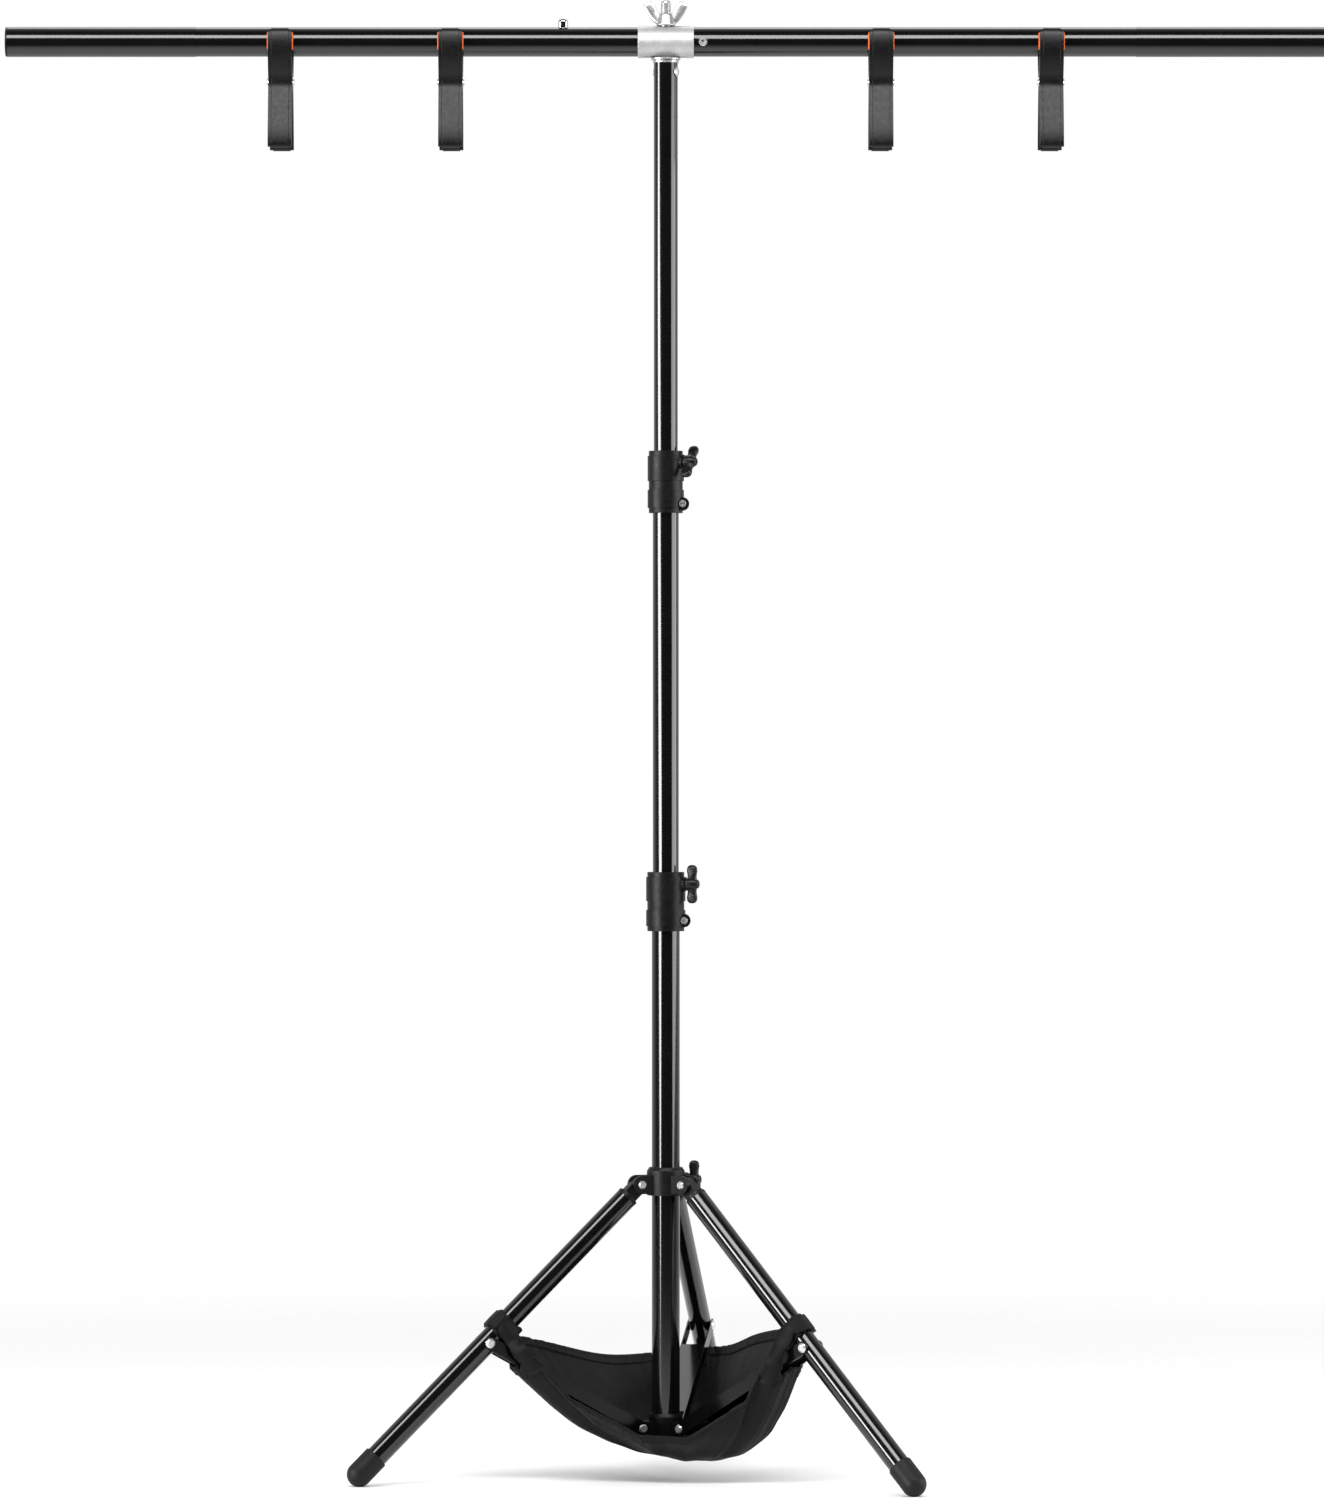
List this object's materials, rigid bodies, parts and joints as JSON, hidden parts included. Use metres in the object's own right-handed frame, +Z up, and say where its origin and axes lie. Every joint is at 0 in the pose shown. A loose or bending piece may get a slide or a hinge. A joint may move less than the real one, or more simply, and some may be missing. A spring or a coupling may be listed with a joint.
{
  "type": "background support stand",
  "caption": "Telescoping tripod stand with a long crossbar on top, spring clamps on the bar and a sandbag sling hung between the legs, for holding a photo backdrop.",
  "frame": {"origin": "on the floor, under the middle of the part's bounding box; the column's axis stands 52.09 mm in front of it (towards -Y), in line with the middle of the crossbar", "axes": "+Z up the column, +X along the crossbar to the right as seen from the front, +Y away from the front viewer"},
  "size_m": [1.32, 0.549, 1.4762],
  "materials": {
    "black_enamel": "gloss black enamel on steel tube",
    "black_plastic": "satin moulded black plastic",
    "nylon_liner": "black nylon",
    "clamp_black": "black moulded nylon",
    "orange_pad": "bright orange soft plastic",
    "black_rubber": "matte black rubber",
    "cast_aluminium": "bare cast aluminium, tumbled",
    "zinc_steel": "bright zinc plate",
    "bright_rivet": "bright drawn metal",
    "chrome_button": "polished chrome",
    "black_fabric": "woven black nylon"
  },
  "bodies": {
    "column": {"lower_tube": "black_enamel", "lower_hub": "black_plastic", "lower_hub_pins": "bright_rivet", "lower_collar": "black_plastic", "lower_collar_screw": "zinc_steel", "lower_liner": "nylon_liner", "sandbag": "black_fabric", "sling_straps": "black_fabric"},
    "leg_hub": {"leg_hub": "black_plastic", "leg_hub_pins": "bright_rivet"},
    "hub_knob": {"hub_knob": "black_plastic"},
    "lower_knob": {"lower_knob": "black_plastic"},
    "upper_knob": {"upper_knob": "black_plastic"},
    "middle": {"mid_tube": "black_enamel", "upper_collar": "black_plastic", "upper_collar_screw": "zinc_steel", "upper_liner": "nylon_liner"},
    "top": {"top_tube": "black_enamel", "top_plug": "zinc_steel", "top_rivets": "bright_rivet", "stud": "zinc_steel", "washer": "zinc_steel"},
    "wing": {"wing_nut": "zinc_steel"},
    "crossbar": {"t_sleeve": "cast_aluminium", "bar_spigot": "zinc_steel", "bar_left_inner": "black_enamel", "bar_left_outer": "black_enamel", "bar_right_inner": "black_enamel", "bar_right_outer": "black_enamel", "bar_caps": "black_plastic", "bar_rivet": "bright_rivet", "snap_spring": "zinc_steel", "clamp_bodies": "clamp_black", "clamp_pads": "orange_pad", "clamp_pivots": "bright_rivet"},
    "snap": {"snap_button": "chrome_button"},
    "left_leg": {"leg_left": "black_enamel", "leg_top_left": "black_plastic", "foot_left": "black_rubber"},
    "left_brace": {"brace_left": "black_enamel", "brace_rivet_left": "bright_rivet"},
    "right_leg": {"leg_right": "black_enamel", "leg_top_right": "black_plastic", "foot_right": "black_rubber"},
    "right_brace": {"brace_right": "black_enamel", "brace_rivet_right": "bright_rivet"},
    "back_leg": {"leg_back": "black_enamel", "leg_top_back": "black_plastic", "foot_back": "black_rubber"},
    "back_brace": {"brace_back": "black_enamel", "brace_rivet_back": "bright_rivet"},
    "jaw_1": {"clamp_jaw_1": "clamp_black", "clamp_jaw_pad_1": "orange_pad"},
    "jaw_2": {"clamp_jaw_2": "clamp_black", "clamp_jaw_pad_2": "orange_pad"},
    "jaw_3": {"clamp_jaw_3": "clamp_black", "clamp_jaw_pad_3": "orange_pad"},
    "jaw_4": {"clamp_jaw_4": "clamp_black", "clamp_jaw_pad_4": "orange_pad"}
  },
  "joints": [
    {"name": "leg_hub_slide", "type": "slide", "parent": "column", "child": "leg_hub", "axis": [0, 0, 1], "range_m": [0, 0.1601], "deforming": ["sandbag", "sling_straps"]},
    {"name": "left_leg_hinge", "type": "hinge", "parent": "leg_hub", "child": "left_leg", "pos_m": [-0.02647, -0.06121, 0.293], "axis": [0.3256, -0.9455, 0], "range_deg": [0, 41.56]},
    {"name": "left_brace_hinge", "type": "hinge", "parent": "column", "child": "left_brace", "pos_m": [-0.02647, -0.06121, 0.05], "axis": [-0.3256, 0.9455, 0], "range_deg": [0, 55.36]},
    {"name": "right_leg_hinge", "type": "hinge", "parent": "leg_hub", "child": "right_leg", "pos_m": [0.02113, -0.07046, 0.293], "axis": [0.6561, 0.7547, 0], "range_deg": [0, 41.56]},
    {"name": "right_brace_hinge", "type": "hinge", "parent": "column", "child": "right_brace", "pos_m": [0.02113, -0.07046, 0.05], "axis": [-0.6561, -0.7547, 0], "range_deg": [0, 55.36]},
    {"name": "back_leg_hinge", "type": "hinge", "parent": "leg_hub", "child": "back_leg", "pos_m": [0.00534, -0.0246, 0.293], "axis": [-0.9816, 0.1908, 0], "range_deg": [0, 41.56]},
    {"name": "back_brace_hinge", "type": "hinge", "parent": "column", "child": "back_brace", "pos_m": [0.00534, -0.0246, 0.05], "axis": [0.9816, -0.1908, 0], "range_deg": [0, 55.36]},
    {"name": "middle_slide", "type": "slide", "parent": "column", "child": "middle", "axis": [0, 0, 1], "range_m": [-0.34, 0.04]},
    {"name": "top_slide", "type": "slide", "parent": "middle", "child": "top", "axis": [0, 0, 1], "range_m": [-0.375, 0.035]},
    {"name": "crossbar_turn", "type": "hinge", "parent": "top", "child": "crossbar", "pos_m": [0, -0.05209, 1.435], "axis": [0, 0, 1], "range_deg": [-90, 90]},
    {"name": "wing_nut_spin", "type": "hinge", "parent": "top", "child": "wing", "pos_m": [0, -0.05209, 1.452], "axis": [0, 0, 1], "continuous": true},
    {"name": "lower_knob_turn", "type": "hinge", "parent": "column", "child": "lower_knob", "pos_m": [0.01879, -0.05893, 0.593], "axis": [0.9397, -0.342, 0], "continuous": true},
    {"name": "upper_knob_turn", "type": "hinge", "parent": "middle", "child": "upper_knob", "pos_m": [0.01827, -0.06023, 1.015], "axis": [0.9135, -0.4067, 0], "continuous": true},
    {"name": "hub_knob_turn", "type": "hinge", "parent": "leg_hub", "child": "hub_knob", "pos_m": [0.01891, -0.04558, 0.297], "axis": [0.9455, 0.3256, 0], "continuous": true},
    {"name": "snap_press", "type": "slide", "parent": "crossbar", "child": "snap", "axis": [0, 0, -1], "range_m": [0, 0.0085], "stiffness_N_per_m": 300, "springref_m": -0.004, "deforming": ["snap_spring"]},
    {"name": "jaw_1_hinge", "type": "hinge", "parent": "crossbar", "child": "jaw_1", "pos_m": [-0.385, -0.05209, 1.395], "axis": [1, 0, 0], "range_deg": [0, 22], "stiffness_Nm_per_rad": 1, "springref_deg": -34.38},
    {"name": "jaw_2_hinge", "type": "hinge", "parent": "crossbar", "child": "jaw_2", "pos_m": [-0.215, -0.05209, 1.395], "axis": [1, 0, 0], "range_deg": [0, 22], "stiffness_Nm_per_rad": 1, "springref_deg": -34.38},
    {"name": "jaw_3_hinge", "type": "hinge", "parent": "crossbar", "child": "jaw_3", "pos_m": [0.215, -0.05209, 1.395], "axis": [1, 0, 0], "range_deg": [0, 22], "stiffness_Nm_per_rad": 1, "springref_deg": -34.38},
    {"name": "jaw_4_hinge", "type": "hinge", "parent": "crossbar", "child": "jaw_4", "pos_m": [0.385, -0.05209, 1.395], "axis": [1, 0, 0], "range_deg": [0, 22], "stiffness_Nm_per_rad": 1, "springref_deg": -34.38}
  ],
  "couplings": [
    {"joint": "left_leg_hinge", "follows": "leg_hub_slide", "rad_per_m": 4.5198},
    {"joint": "left_brace_hinge", "follows": "leg_hub_slide", "rad_per_m": 6.0244},
    {"joint": "right_leg_hinge", "follows": "leg_hub_slide", "rad_per_m": 4.5198},
    {"joint": "right_brace_hinge", "follows": "leg_hub_slide", "rad_per_m": 6.0244},
    {"joint": "back_leg_hinge", "follows": "leg_hub_slide", "rad_per_m": 4.5198},
    {"joint": "back_brace_hinge", "follows": "leg_hub_slide", "rad_per_m": 6.0244}
  ]
}
